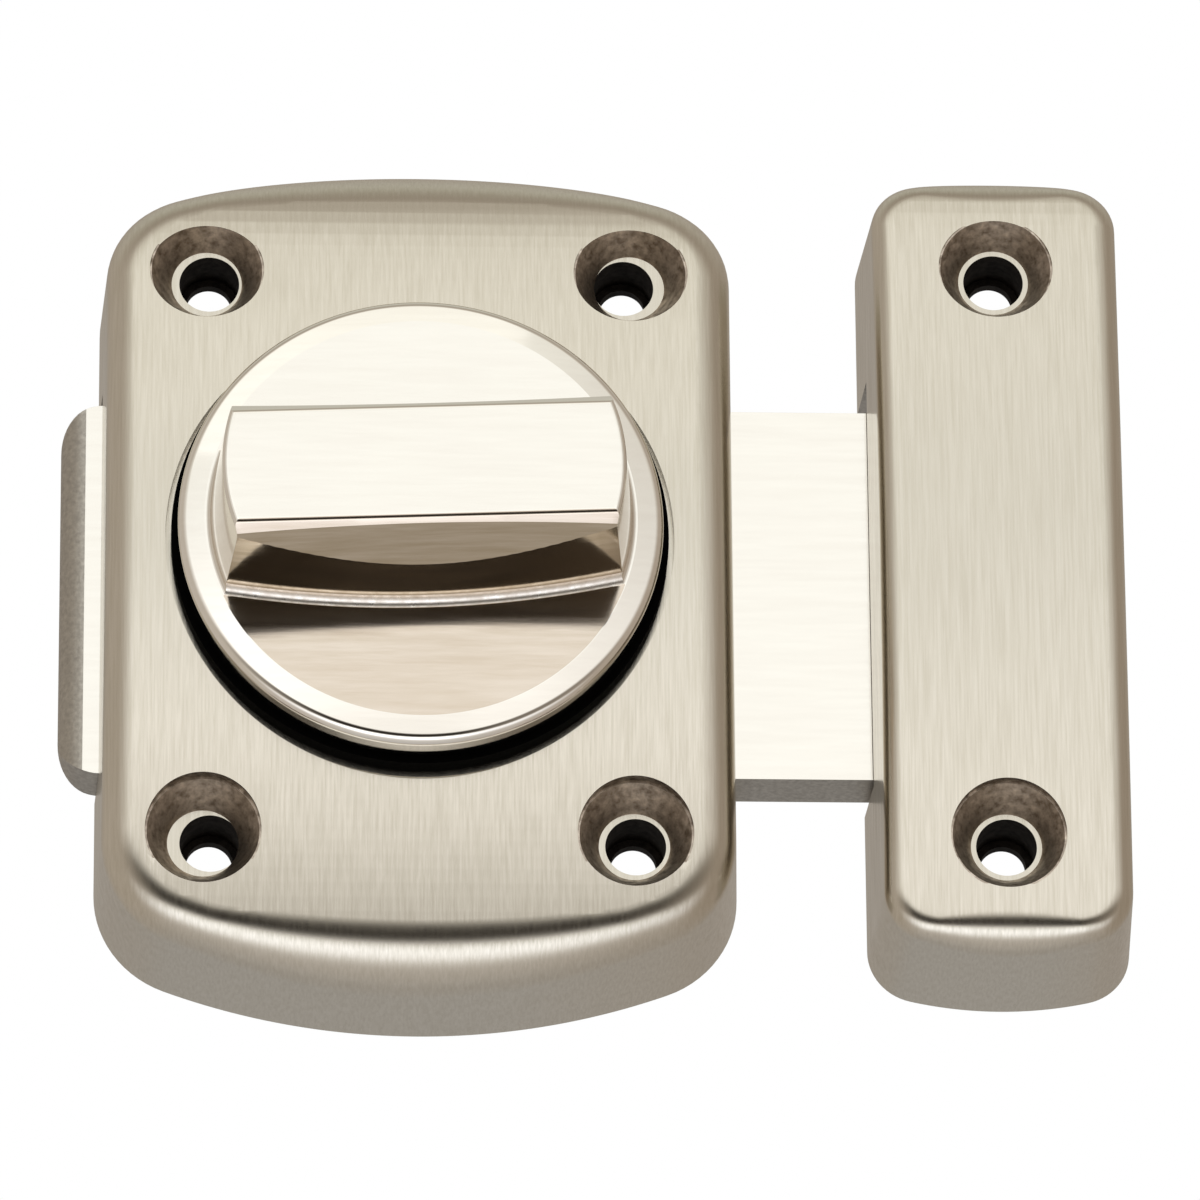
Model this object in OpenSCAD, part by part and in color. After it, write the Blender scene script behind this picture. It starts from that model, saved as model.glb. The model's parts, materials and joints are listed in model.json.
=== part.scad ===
// Surface-mounted bathroom latch: a cast case with a turn knob that throws a flat bolt, and its keeper.
// The door face is the plane y = 0, the front looks towards -y, z is up and the keeper stands on the +x side.
// The origin is on the door face, on the axis of the knob. The bolt is drawn thrown, in the keeper.
// Parts are drawn lying on their backs (x across, y up the door, z out of the door) and then stood upright.

/* [Case] */
// Width of the case across its straight sides
case_w = 50; // [48:0.5:54]
// Height of the case between the tops of its arched ends
case_h = 71; // [70:0.1:74]
// Depth of the case at the middle of its crowned front
case_depth = 15.2; // [15:0.1:17]
// Radius of the crowned front, which curves from top to bottom only
case_crown_r = 145; // [130:5:200]
// Radius of the arched ends in plan
case_arch_r = 55; // [50:1:70]
// Radius of the corners in plan
case_corner_r = 8.5; // [7.5:0.5:9.5]
// Rounding of the front edge in the middle of each end
case_edge_end = 4; // [3:0.1:4.5]
// Rounding of the front edge along the sides and corners
case_edge_side = 2.6; // [2.2:0.1:2.8]
// Lean of the cast walls towards the front, of the case and the keeper
draft = 3; // [2:0.5:3.5]
// Thickness of the cast wall
case_wall = 2.8; // [2.4:0.1:3]
// Radius of the round seat under the knob
seat_r = 19.7; // [19.5:0.1:20]
// Height of that seat above the door: sunk in the middle of the crown, just proud of it above and below
seat_z = 14.1; // [14:0.1:14.4]

/* [Screw holes] */
// Distance between the two columns of screw holes
hole_dx = 33.2; // [32:0.1:34]
// Distance between the two rows of screw holes in the case
hole_dy = 47.6; // [47:0.1:49]
// Diameter of the countersink at the front
sink_d = 8.95; // [8.6:0.05:9.2]
// Diameter of the flat land at the foot of the countersink
land_d = 5.5; // [5.2:0.1:5.8]
// Depth of the land below the front face
land_depth = 2.9; // [2.6:0.1:3.4]
// Diameter of the bore under the land
bore_d = 4.7; // [4.4:0.1:5]
// Diameter of the screw hole through the foot of each boss
screw_d = 3.6; // [3.4:0.1:3.8]
// Height of the foot of each screw boss above the door
boss_foot = 5.3; // [5:0.1:6]

/* [Bolt] */
// Height of the bolt
bolt_h = 31.4; // [30:0.1:32]
// Thickness of the bolt
bolt_t = 4.5; // [4:0.1:4.6]
// Height of the back of the bolt above the door
bolt_z = 1.35; // [1.3:0.05:1.4]
// Height of the middle of the bolt above the knob axis: it hangs on its lower guide
bolt_y = -0.4; // [-0.4:0.1:0]
// Play of the bolt between its guides above and below
bolt_play = 1; // [0.9:0.1:1.2]
// Travel of the bolt
travel = 16.5; // [15:0.5:17]
// How far the bolt stands out of the case when it is drawn back
nose_out = 0.6; // [0.3:0.1:1]
// How far the tail stands out of the case when the bolt is thrown
tail_out = 2.9; // [2.5:0.1:3.2]
// Clearance in front of the bolt
bolt_gap = 0.25; // [0.2:0.05:0.3]

/* [Knob] */
// Radius of the round base of the knob
knob_r = 18.75; // [18.5:0.05:19]
// Height of the back of the base above the door
knob_z = 15.85; // [15.75:0.01:15.9]
// Height of the floor of the finger scoops above the door
scoop_z = 19; // [18.8:0.1:19.3]
// Height of the grip face above the door
grip_z = 29.4; // [28:0.1:30]
// Radius of the grip at its face
grip_r = 15.4; // [15:0.1:15.8]
// Width of the grip at its face
grip_w = 9.2; // [9:0.1:9.8]
// Width of the grip in its middle, where it meets the floor of the scoops
grip_foot_w = 16; // [15:0.1:16.6]
// Radius of the bow of the grip's foot in plan: the face is straight, the foot is wider in the middle
grip_bow_r = 80; // [60:5:200]
// Turn of the grip from the horizontal, as photographed
grip_lean = 2.3; // [0:0.1:3]

/* [Keeper] */
// Distance from the knob axis to the middle of the keeper
keeper_x = 45.3; // [45:0.05:46]
// Height of the middle of the keeper above the knob axis
keeper_y = 0.5; // [0:0.1:0.8]
// Width of the keeper
keeper_w = 20.4; // [20:0.1:21]
// Height of the keeper
keeper_h = 67.1; // [66:0.1:68]
// Depth of the keeper at the middle of its front
keeper_depth = 14.4; // [14:0.1:15]
// Radius of the crowned front of the keeper
keeper_crown_r = 265; // [250:5:320]
// Radius of the arched ends of the keeper in plan
keeper_arch_r = 31; // [28:1:36]
// Radius of the corners of the keeper in plan
keeper_corner_r = 4.2; // [3.8:0.1:4.6]
// Rounding of the front edge of the keeper at its ends
keeper_edge_end = 2.6; // [2:0.1:3]
// Rounding of the front edge of the keeper along its sides
keeper_edge_side = 2; // [1.6:0.1:2.2]
// Thickness of the keeper wall
keeper_wall = 2.4; // [2.2:0.1:2.6]
// Distance between the two screw holes in the keeper
keeper_hole_dy = 48.2; // [47:0.1:49]

/* [Works] */
// Thickness of the back plate
plate_t = 1.2; // [1:0.1:1.2]
// Diameter of the journal that turns in the case
journal_d = 9; // [8:0.5:10]
// Difference between the bore in the case and the journal
running_gap = 0.1; // [0.05:0.01:0.15]
// Side of the square that drives the crank
square_w = 6; // [5.6:0.1:6.2]
// Thickness of the crank
crank_t = 2.2; // [2:0.1:2.3]
// Diameter of the drive pin
pin_d = 3.5; // [3:0.1:3.6]
// Clearance each side of the drive pin in the slot of the bolt
pin_gap = 0.5; // [0.45:0.05:0.6]

/* [Hidden] */
$fn = 64;
eps = 0.05;
far = 60;

nickel = [0.80, 0.77, 0.71];
polish = [0.93, 0.90, 0.85];
steel = [0.70, 0.71, 0.73];
black = [0.05, 0.05, 0.05];

// Depths of the works inside the case
room = 0.4;
crank_z = bolt_z + bolt_t + room;
crank_top = crank_z + crank_t;
wave_t = 0.8;
wave_top = crank_top + wave_t;
hub_r = 8;
hub_foot = wave_top + 0.1;
ceiling_t = 3.2;
screw_head_t = 1.6;
screw_head_d = 5.6;
crank_screw_d = 3;

// The pin swings 45 degrees each side of upright, so its radius follows from the travel
pin_r = travel / (2 * sin(45));
pin_x = pin_r * sin(45);
pin_y = pin_r * cos(45);

bolt_right = case_w / 2 + nose_out + travel;
bolt_left = -case_w / 2 - tail_out;
bolt_corner_r = 3.3;
bolt_chamfer = 0.3;

plate_fit = 0.4;
plate_w = case_w - 2 * case_wall - plate_fit;
plate_h = 36.4;
tongue_y = 19.6;
plate_screw_d = 2.2;
plate_core_d = 1.8;
plate_head_d = 4.2;
plate_boss_d = 6.4;

boss_d = 9.8;
lip_t = 0.4;
foot_t = 0.9;

// Plan of a body with arched ends, as the right half from top to bottom: [x, y, outward x, outward y]
function span(n) = [for (i = [0:n - 1]) i / n];
function half_outline(w, h, arch, corner) =
    let (
        ay = h / 2 - arch,
        cx = w / 2 - corner,
        cy = ay + sqrt(pow(arch - corner, 2) - pow(cx, 2)),
        meet = atan2(cy - ay, cx),
        top = [for (t = span(10))
            let (a = 90 - t * (90 - meet))
            [arch * cos(a), ay + arch * sin(a), cos(a), sin(a)]],
        bend = [for (t = span(7))
            let (a = meet * (1 - t))
            [cx + corner * cos(a), cy + corner * sin(a), cos(a), sin(a)]],
        side = [for (t = span(6)) [w / 2, cy * (1 - t), 1, 0]],
        upper = concat(top, bend, side),
        lower = [for (i = [len(upper) - 1:-1:0]) let (p = upper[i]) [p[0], -p[1], p[2], -p[3]]]
    )
    concat(upper, [[w / 2, 0, 1, 0]], lower);

// The other half mirrored, so that the ring runs once round the plan, clockwise from the top
function whole(half) =
    let (n = len(half))
    concat(half, [for (i = [n - 2:-1:1]) [-half[i][0], half[i][1], -half[i][2], half[i][3]]]);

// Height of a crowned front above the door, at a height y up the door
function crown(y, depth, r) = depth - r + sqrt(r * r - y * y);

// Rounding of the front edge, widest in the middle of each end
function edge_at(p, w, end, side) =
    abs(p[3]) < 0.01 ? side : side + (end - side) * max(0, 1 - pow(p[0] / (0.35 * w), 2));

// One ring of the front edge, a of 0 at the top of the wall and 90 on the front face.
// The draft draws the ring in, in proportion to its height above the door.
function edge_ring(ring, a, w, h, end, side, depth, r) =
    [for (p = ring)
        let (
            e = edge_at(p, w, end, side),
            x = p[0] - p[2] * e * (1 - cos(a)),
            y = p[1] - p[3] * e * (1 - cos(a)),
            below = e * (1 - sin(a)),
            lean = tan(draft) * (crown(y, depth, r) - below),
            y_in = y * (1 - 2 * lean / h)
        )
        [x * (1 - 2 * lean / w), y_in, crown(y_in, depth, r) - below]];

// A cast body: drafted walls on an arched plan, a rounded front edge and a crowned front
module crowned_body(w, h, depth, crown_r, arch, corner, edge_end, edge_side) {
    ring = whole(half_outline(w, h, arch, corner));
    n = len(ring);
    half = n / 2;
    steps = [0:15:90];
    rings = concat(
        [[for (p = ring) [p[0], p[1], 0]]],
        [for (a = steps) edge_ring(ring, a, w, h, edge_end, edge_side, depth, crown_r)]
    );
    m = len(rings);
    walls = [for (k = [0:m - 2]) for (i = [0:n - 1])
        [k * n + i, k * n + (i + 1) % n, (k + 1) * n + (i + 1) % n, (k + 1) * n + i]];
    last = (m - 1) * n;
    strips = [for (i = [1:half - 2]) [last + i, last + i + 1, last + n - i - 1, last + n - i]];
    tips = [[last, last + 1, last + n - 1], [last + half - 1, last + half, last + half + 1]];
    back = [[for (i = [n - 1:-1:0]) i]];
    points = [for (r = rings) for (p = r) p];
    polyhedron(points = points, faces = concat(walls, strips, tips, back), convexity = 4);
}

// The inside of a cast body, open at the back, with a ceiling that follows the crown of the front
module hollow(w, h, depth, crown_r, arch, corner, wall) {
    inner = whole(half_outline(w - 2 * wall, h - 2 * wall, arch - wall, max(corner - wall, 0.8)));
    intersection() {
        translate([0, 0, -1]) linear_extrude(depth + 1) polygon([for (p = inner) [p[0], p[1]]]);
        translate([0, 0, depth - ceiling_t - crown_r]) rotate([0, 90, 0])
            cylinder(r = crown_r, h = w, center = true, $fn = 180);
    }
}

// A screw hole from the front: lip, steep countersink, flat land, bore and the smaller hole through the foot
module screw_hole(face_z) {
    land_z = face_z - land_depth;
    bore_z = boss_foot + foot_t;
    translate([0, 0, face_z - lip_t]) cylinder(d = sink_d, h = 5);
    translate([0, 0, land_z]) cylinder(d1 = land_d, d2 = sink_d - 0.3, h = land_depth - lip_t + eps);
    translate([0, 0, bore_z]) cylinder(d = bore_d, h = land_z - bore_z + eps);
    translate([0, 0, -1]) cylinder(d = screw_d, h = face_z);
}

module slot(x0, x1, y, d, z0, h) {
    translate([0, 0, z0]) linear_extrude(h) {
        translate([x0, y]) circle(d = d);
        translate([x1, y]) circle(d = d);
        translate([x0, y - d / 2]) square([x1 - x0, d]);
    }
}

module upright() {
    rotate([90, 0, 0]) children();
}

module case_bosses() {
    for (sx = [-1, 1], sy = [-1, 1])
        translate([sx * hole_dx / 2, sy * hole_dy / 2, boss_foot]) cylinder(d = boss_d, h = case_depth);
    for (sy = [-1, 1])
        translate([0, sy * tongue_y, plate_t]) cylinder(d = plate_boss_d, h = case_depth);
    translate([0, 0, hub_foot]) cylinder(r = hub_r, h = case_depth);
}

module case() {
    face_z = crown(hole_dy / 2, case_depth, case_crown_r);
    window_h = bolt_h + bolt_play;
    window_z = bolt_z + bolt_t + bolt_gap;
    color(nickel) upright() difference() {
        union() {
            crowned_body(case_w, case_h, case_depth, case_crown_r, case_arch_r, case_corner_r,
                case_edge_end, case_edge_side);
            translate([0, 0, hub_foot]) cylinder(r = seat_r, h = seat_z - hub_foot, $fn = 128);
        }
        difference() {
            hollow(case_w, case_h, case_depth, case_crown_r, case_arch_r, case_corner_r, case_wall);
            case_bosses();
        }
        translate([-far / 2, -window_h / 2, -1]) cube([far, window_h, window_z + 1]);
        translate([0, 0, seat_z]) cylinder(r = seat_r, h = 5, $fn = 128);
        translate([0, 0, 1]) cylinder(d = journal_d + running_gap, h = case_depth);
        for (sy = [-1, 1])
            translate([0, sy * tongue_y, 0]) cylinder(d = plate_core_d, h = 6);
        for (sx = [-1, 1], sy = [-1, 1])
            translate([sx * hole_dx / 2, sy * hole_dy / 2, 0]) screw_hole(face_z);
    }
}

// Steel plate let into the back of the case: it keeps the bolt in when the latch is off the door
module back_plate() {
    ear_w = case_w - plate_fit;
    ear_h = bolt_h - plate_fit;
    color(steel) upright() difference() {
        linear_extrude(plate_t) {
            square([plate_w, plate_h], center = true);
            square([ear_w, ear_h], center = true);
            for (sy = [-1, 1])
                translate([0, sy * tongue_y]) circle(d = plate_boss_d - 0.6);
            square([plate_boss_d - 0.6, 2 * tongue_y], center = true);
        }
        for (sy = [-1, 1])
            translate([0, sy * tongue_y, 0]) plate_screw_hole();
    }
}

module plate_screw_hole() {
    translate([0, 0, -1]) cylinder(d = plate_screw_d + 0.1, h = 4);
    translate([0, 0, -eps]) cylinder(d1 = plate_head_d + 0.1, d2 = plate_screw_d, h = plate_t - 0.2);
}

// Two small countersunk screws, flush with the back of the plate, cutting their thread in the bosses
module plate_screws() {
    head_t = plate_t - 0.25;
    color(steel) upright() for (sy = [-1, 1])
        translate([0, sy * tongue_y, 0]) difference() {
            union() {
                cylinder(d1 = plate_head_d, d2 = plate_core_d, h = head_t);
                cylinder(d = plate_core_d, h = 5.6);
            }
            for (turn = [0, 90])
                rotate(turn) cube([plate_head_d * 0.6, 0.4, 1], center = true);
        }
}

// Plan of the bolt: round corners at the tail, nearly square ones at the nose
module bolt_plan() {
    tail = bolt_corner_r;
    nose = 0.8;
    half = bolt_h / 2;
    for (sy = [-1, 1]) {
        translate([bolt_left + tail, sy * (half - tail)]) circle(r = tail);
        translate([bolt_right - nose, sy * (half - nose)]) circle(r = nose);
    }
    translate([bolt_left, tail - half]) square([bolt_right - bolt_left, bolt_h - 2 * tail]);
    translate([bolt_left + tail, -half]) square([bolt_right - nose - bolt_left - tail, bolt_h]);
    translate([0, nose - half]) square([bolt_right, bolt_h - 2 * nose]);
}

// Section of the bolt along its length, with a full round tail
module bolt_side() {
    r = bolt_t / 2;
    translate([bolt_left + r, 0]) square([bolt_right - bolt_left - r, bolt_t]);
    translate([bolt_left + r, r]) circle(r = r);
}

module bolt() {
    half = bolt_h / 2;
    c = bolt_chamfer;
    relief_d = screw_head_d + 2;
    pin_slot_w = pin_d + 2 * pin_gap;
    slot_top = pin_r + pin_d / 2 + room;
    color(polish) upright() translate([0, 0, bolt_z]) difference() {
        translate([0, bolt_y, 0]) intersection() {
            linear_extrude(bolt_t) bolt_plan();
            translate([0, half, 0]) rotate([90, 0, 0]) linear_extrude(bolt_h) bolt_side();
            translate([bolt_left, 0, 0]) rotate([90, 0, 90]) linear_extrude(bolt_right - bolt_left) {
                translate([-half, 0]) square([bolt_h, bolt_t - c]);
                polygon([[-half, bolt_t - c], [half, bolt_t - c], [half - c, bolt_t], [c - half, bolt_t]]);
            }
        }
        slot(0, travel, 0, relief_d, -1, bolt_t + 2);
        translate([pin_x - pin_slot_w / 2, 0, -1]) cube([pin_slot_w, slot_top - pin_slot_w / 2, bolt_t + 2]);
        translate([pin_x, slot_top - pin_slot_w / 2, -1]) cylinder(d = pin_slot_w, h = bolt_t + 2);
    }
}

function arc(cx, cy, r, a0, a1, n) =
    [for (i = [0:n]) let (a = a0 + (a1 - a0) * i / n) [cx + r * cos(a), cy + r * sin(a)]];

// Turned profile of the knob: base, sloping shoulder and the cone that the grip is cut from
module knob_profile() {
    rim = 0.85;
    shoulder_r = knob_r - 2.05;
    root = 0.5;
    edge = 0.4;
    fall = 0.4;
    polygon(concat(
        [[0, knob_z], [knob_r - edge, knob_z], [knob_r, knob_z + edge]],
        arc(knob_r - rim, scoop_z - fall - rim, rim, 0, 72, 6),
        [[shoulder_r, scoop_z]],
        arc(shoulder_r, scoop_z + root, root, 265, 190, 4),
        arc(grip_r - edge, grip_z - edge, edge, 5, 90, 5),
        [[0, grip_z]]
    ));
}

// Section of the space that a finger scoop cuts away, x along the grip, as [y, z] with y out from its middle.
// Past the chamfer of the face, broader at its ends, the wall leans less and less down to its bowed foot.
function scoop_section(x) =
    let (
        top = grip_w / 2,
        edge = 0.35 + x * x / 600,
        fillet = 1,
        foot = grip_foot_w / 2 - x * x / (2 * grip_bow_r),
        high = grip_z - edge,
        low = scoop_z + fillet,
        spread = foot - fillet - top - edge,
        wall = [for (t = span(7)) [top + edge + spread * t * (1.6 - 0.6 * t), high + (low - high) * t]]
    )
    concat(
        [[far / 2, scoop_z], [far / 2, grip_z + 2], [top - 2, grip_z + 2], [top, grip_z]],
        wall,
        arc(foot, low, fillet, 180, 270, 5)
    );

// The scoop lofted through its sections, from end to end of the base
module scoop() {
    sections = [for (x = [-20:4:20]) [for (p = scoop_section(x)) [x, p[0], p[1]]]];
    m = len(sections);
    n = len(sections[0]);
    sides = [for (k = [0:m - 2]) for (i = [0:n - 1]) let (a = k * n + i, b = k * n + (i + 1) % n)
        each [[a, b + n, b], [a, a + n, b + n]]];
    first = [for (i = [0:n - 1]) i];
    last = [for (i = [n - 1:-1:0]) (m - 1) * n + i];
    points = [for (s = sections) for (p = s) p];
    polyhedron(points = points, faces = concat(sides, [first, last]), convexity = 4);
}

module knob() {
    color(polish) upright() difference() {
        union() {
            rotate(grip_lean) difference() {
                rotate_extrude($fn = 128) knob_profile();
                for (side = [0, 180])
                    rotate(side) scoop();
            }
            translate([0, 0, wave_top + 0.05]) cylinder(d = journal_d, h = knob_z - wave_top);
            translate([-square_w / 2, -square_w / 2, crank_z]) cube([square_w, square_w, 6]);
        }
        translate([0, 0, knob_z - 1]) difference() {
            cylinder(r = 14, h = 2.4, $fn = 96);
            cylinder(r = 6, h = 2.4);
        }
        translate([0, 0, crank_z - 1]) cylinder(d = crank_screw_d, h = 8);
    }
}

// Black nylon ring between the knob and its seat
module knob_washer() {
    color(black) upright() translate([0, 0, seat_z]) difference() {
        cylinder(r = knob_r + 0.5, h = knob_z - seat_z - 0.08, $fn = 128);
        translate([0, 0, -1]) cylinder(r = 14.4, h = 3, $fn = 96);
    }
}

// Conical spring washer that gives the knob its drag
module wave_washer() {
    r0 = journal_d / 2 + 0.15;
    r1 = hub_r - 0.8;
    t = 0.4;
    color(steel) upright() translate([0, 0, crank_top])
        rotate_extrude($fn = 96) polygon([[r1, 0], [r1, t], [r0, wave_t], [r0, wave_t - t]]);
}

// Pressed crank: a hub on the square of the knob and an arm that carries the drive pin
module crank() {
    hub = 6.4;
    tip = 3.2;
    lean = asin((hub - tip) / pin_r);
    ux = [cos(lean), sin(lean)];
    color(steel) upright() translate([0, 0, crank_z]) rotate(-45) difference() {
        linear_extrude(crank_t) {
            circle(r = hub);
            translate([0, pin_r]) circle(r = tip);
            polygon([[hub * ux[0], hub * ux[1]], [tip * ux[0], pin_r + tip * ux[1]],
                [-tip * ux[0], pin_r + tip * ux[1]], [-hub * ux[0], hub * ux[1]]]);
        }
        rotate(45) translate([-square_w / 2, -square_w / 2, -1]) cube([square_w, square_w, crank_t + 2]);
        translate([0, pin_r, -1]) cylinder(d = pin_d - 0.7, h = crank_t + 2);
    }
}

// Drive pin riveted into the crank and reaching back through the slot of the bolt
module drive_pin() {
    color(steel) upright() translate([pin_x, pin_y, 0]) {
        translate([0, 0, plate_t + room]) cylinder(d = pin_d, h = crank_z - plate_t - room);
        translate([0, 0, crank_z]) cylinder(d = pin_d - 0.7, h = crank_t);
        translate([0, 0, crank_top]) cylinder(d1 = pin_d, d2 = pin_d - 0.6, h = 0.5);
    }
}

// Pan-head screw that holds the crank on the knob
module crank_screw() {
    head_z = crank_z - screw_head_t;
    color(steel) upright() difference() {
        union() {
            translate([0, 0, head_z]) cylinder(d1 = screw_head_d - 1, d2 = screw_head_d, h = 0.5);
            translate([0, 0, head_z + 0.5]) cylinder(d = screw_head_d, h = screw_head_t - 0.5);
            translate([0, 0, crank_z - eps]) cylinder(d = crank_screw_d, h = 6.5);
        }
        for (turn = [0, 90])
            rotate(turn) translate([0, 0, head_z]) cube([3, 0.7, 1.6], center = true);
    }
}

module keeper_bosses() {
    for (sy = [-1, 1])
        translate([0, sy * keeper_hole_dy / 2, boss_foot]) cylinder(d = boss_d, h = keeper_depth);
}

module keeper() {
    face_z = crown(keeper_hole_dy / 2, keeper_depth, keeper_crown_r);
    slot_h = bolt_h + 3.2;
    slot_z = bolt_z + bolt_t + 0.5;
    color(nickel) upright() translate([keeper_x, keeper_y, 0]) difference() {
        crowned_body(keeper_w, keeper_h, keeper_depth, keeper_crown_r, keeper_arch_r, keeper_corner_r,
            keeper_edge_end, keeper_edge_side);
        difference() {
            hollow(keeper_w, keeper_h, keeper_depth, keeper_crown_r, keeper_arch_r, keeper_corner_r,
                keeper_wall);
            keeper_bosses();
        }
        translate([-keeper_w / 2 - 1, -slot_h / 2, -1]) cube([keeper_w / 2, slot_h, slot_z + 1]);
        for (sy = [-1, 1])
            translate([0, sy * keeper_hole_dy / 2, 0]) screw_hole(face_z);
    }
}

case();
back_plate();
plate_screws();
bolt();
knob();
knob_washer();
wave_washer();
crank();
drive_pin();
crank_screw();
keeper();
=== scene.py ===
# %% [markdown]
# # A surface-mounted bathroom latch
# A die-cast case with a turn knob throws a flat bolt into a keeper on the door frame.
# The construction comes in as a fixed frame at its real size, and this lesson dresses it: cast bodies with
# soft edges, drilled countersinks, a bright knob, and the finish of each piece.

# %% Load the frame
import json
import math

import bmesh
import bpy
from mathutils import Matrix, Vector


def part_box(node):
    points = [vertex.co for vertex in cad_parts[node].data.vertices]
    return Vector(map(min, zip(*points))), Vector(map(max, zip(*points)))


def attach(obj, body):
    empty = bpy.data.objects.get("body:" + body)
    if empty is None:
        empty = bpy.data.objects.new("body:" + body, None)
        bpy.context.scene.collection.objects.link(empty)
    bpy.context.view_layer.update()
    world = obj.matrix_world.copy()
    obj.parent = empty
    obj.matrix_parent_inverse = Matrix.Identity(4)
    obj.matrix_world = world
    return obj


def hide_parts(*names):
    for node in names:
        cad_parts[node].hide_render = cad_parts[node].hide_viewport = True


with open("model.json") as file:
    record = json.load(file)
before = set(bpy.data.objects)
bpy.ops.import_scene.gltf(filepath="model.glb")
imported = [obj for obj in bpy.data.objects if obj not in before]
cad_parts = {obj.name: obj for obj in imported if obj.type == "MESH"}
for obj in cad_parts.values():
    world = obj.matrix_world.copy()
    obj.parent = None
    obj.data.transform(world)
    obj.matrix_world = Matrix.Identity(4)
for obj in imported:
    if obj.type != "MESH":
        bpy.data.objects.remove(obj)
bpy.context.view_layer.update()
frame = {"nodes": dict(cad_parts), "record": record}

# %% [markdown]
# Every piece is drawn lying on its back in millimetres: x across, y up the door and z out of the door.
# That is how a designer sketches such a casting, and whole millimetres are easy to read.
# One matrix then stands a piece up on the door and turns millimetres into metres.

# %% Millimetres and standing up
MM = 0.001
STAND = Matrix.Scale(MM, 4) @ Matrix.Rotation(math.radians(90), 4, "X")


def lying_box(node):
    """Width, height, depth and middle of a node, in millimetres, as it is drawn lying down"""
    low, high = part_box(node)
    size = (high - low) / MM
    middle = (high + low) / 2 / MM
    return size.x, size.z, size.y, Vector((middle.x, middle.z, 0))


case_w, case_h, case_depth, _ = lying_box("case")
keeper_w, keeper_h, keeper_depth, keeper_middle = lying_box("keeper")
print("case", round(case_w, 2), round(case_h, 2), "keeper", round(keeper_w, 2), round(keeper_h, 2))

# %% [markdown]
# The photographer stood a little under the latch and a little to its left, with a long lens.
# A long lens far away keeps the front almost free of perspective, so its length comes from the scale of the
# picture: how many pixels of the 1200 go to a millimetre.

# %% Camera
PICTURE = 1200
SENSOR = 36
pixels_per_mm = 12.71
camera_distance = 900
camera_below = math.radians(24.0)
camera_left = math.radians(2.5)
camera_roll = math.radians(-0.48)
aim = Vector((14.56, 0, 1.6)) * MM

towards_camera = Vector((
    -math.sin(camera_left) * math.cos(camera_below),
    -math.cos(camera_left) * math.cos(camera_below),
    -math.sin(camera_below),
))
camera_data = bpy.data.cameras.new("camera")
camera_data.sensor_width = SENSOR
camera_data.lens = SENSOR * pixels_per_mm * camera_distance / PICTURE
camera_data.dof.use_dof = False
camera = bpy.data.objects.new("camera", camera_data)
camera.location = aim + towards_camera * camera_distance * MM
look = (-towards_camera).to_track_quat("-Z", "Y").to_matrix().to_4x4()
camera.rotation_euler = (look @ Matrix.Rotation(camera_roll, 4, "Z")).to_euler()
bpy.context.scene.collection.objects.link(camera)
bpy.context.scene.camera = camera
print("lens", round(camera_data.lens), "mm")

# %% [markdown]
# Node trees are wired by hand in the editor. In a script a few short calls do the same.
# Each returns the socket that comes out, so that a finish reads like a sentence.

# %% Short calls for node trees


class Nodes:
    """Builds one node tree"""

    def __init__(self, tree):
        self.tree = tree
        self.tree.nodes.clear()

    def put(self, value, socket):
        if isinstance(value, bpy.types.NodeSocket):
            self.tree.links.new(value, socket)
        else:
            socket.default_value = value

    def add(self, kind, inputs=None, out=0, **settings):
        node = self.tree.nodes.new(kind)
        for key, value in settings.items():
            setattr(node, key, value)
        for key, value in (inputs or {}).items():
            self.put(value, node.inputs[key])
        return node.outputs[out]

    def math(self, operation, a, b=0.0):
        return self.add("ShaderNodeMath", {0: a, 1: b}, operation=operation)

    def mix(self, factor, a, b):
        return self.add("ShaderNodeMix", {0: factor, 6: a, 7: b}, out=2, data_type="RGBA")

    def ramp(self, value, stops):
        """Colour ramp over value, stops as (place, grey or colour)"""
        node = self.tree.nodes.new("ShaderNodeValToRGB")
        points = node.color_ramp.elements
        while len(points) < len(stops):
            points.new(1)
        for point, (place, colour) in zip(points, stops):
            point.position = place
            tone = (colour,) * 3 if isinstance(colour, (int, float)) else colour
            point.color = (*tone, 1)
        self.tree.links.new(value, node.inputs[0])
        return node.outputs[0]


# %% [markdown]
# A polished knob shows the room more than itself, so the light is drawn as the latch sees it: a pale tent,
# bright in front and above, a dark gap where the photographer stands, a bright sheet under the gap and grey
# behind. A world shader can draw all of it by direction, with no objects to place.
# Rays that go straight from the camera to the world find plain white, the background of the picture.

# %% Light of the tent
world = bpy.data.worlds.new("tent")
bpy.context.scene.world = world
world.use_nodes = True
bpy.context.scene.view_settings.view_transform = "Standard"

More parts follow.
